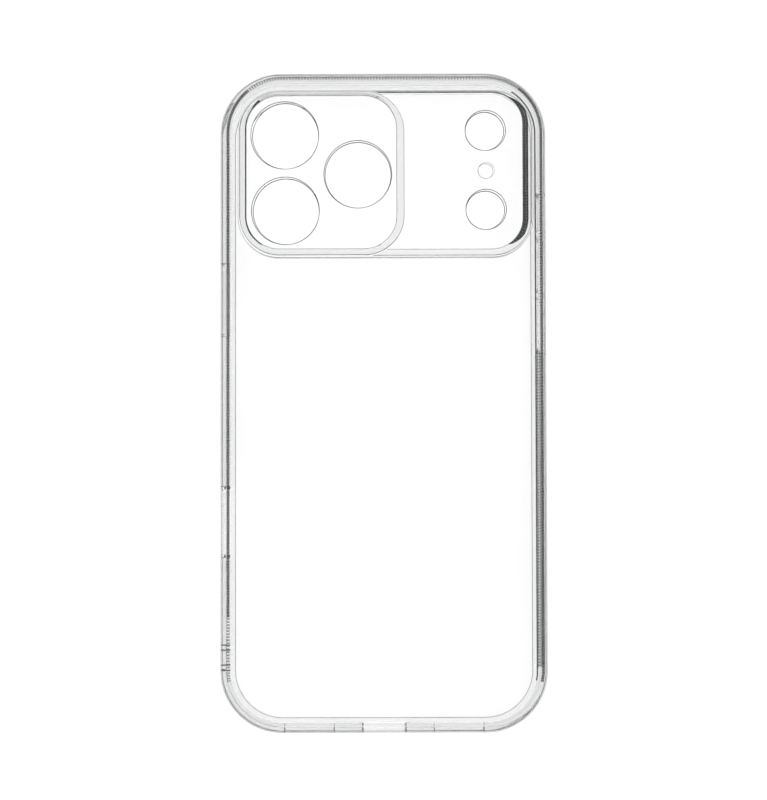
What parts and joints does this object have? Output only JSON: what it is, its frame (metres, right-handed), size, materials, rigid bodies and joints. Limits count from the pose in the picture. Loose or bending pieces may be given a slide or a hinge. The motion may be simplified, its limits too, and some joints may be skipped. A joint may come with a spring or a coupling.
{
  "type": "phone case",
  "caption": "Clear protective phone case: soft bumper frame around a hard back plate, raised camera deck with guard rims, and spring-back button covers.",
  "frame": {"origin": "centre of the case's outline, on the plane that the screen lip lies on", "axes": "+Z out of the back, towards a viewer of the back; +Y towards the camera end; +X to the right as seen from the back"},
  "size_m": [0.0832, 0.1686, 0.0155],
  "materials": {
    "soft_clear": "glossy clear elastomer with fine vertical ribs on the inner wall",
    "hard_clear": "polished clear hard plastic"
  },
  "bodies": {
    "case": {"bumper_frame": "soft_clear", "back_plate": "hard_clear", "camera_deck": "hard_clear", "camera_bar_rim": "hard_clear", "lens_trio_rim": "hard_clear", "side_button_web": "soft_clear", "action_button_web": "soft_clear", "volume_up_web": "soft_clear", "volume_down_web": "soft_clear"},
    "side_button": {"side_button_cover": "soft_clear"},
    "action_button": {"action_button_cover": "soft_clear"},
    "volume_up": {"volume_up_cover": "soft_clear"},
    "volume_down": {"volume_down_cover": "soft_clear"}
  },
  "joints": [
    {"name": "side_button_press", "type": "slide", "parent": "case", "child": "side_button", "axis": [1, 0, 0], "range_m": [0, 0.0003], "stiffness_N_per_m": 2500},
    {"name": "action_button_press", "type": "slide", "parent": "case", "child": "action_button", "axis": [-1, 0, 0], "range_m": [0, 0.0003], "stiffness_N_per_m": 2500},
    {"name": "volume_up_press", "type": "slide", "parent": "case", "child": "volume_up", "axis": [-1, 0, 0], "range_m": [0, 0.0003], "stiffness_N_per_m": 2500},
    {"name": "volume_down_press", "type": "slide", "parent": "case", "child": "volume_down", "axis": [-1, 0, 0], "range_m": [0, 0.0003], "stiffness_N_per_m": 2500}
  ]
}
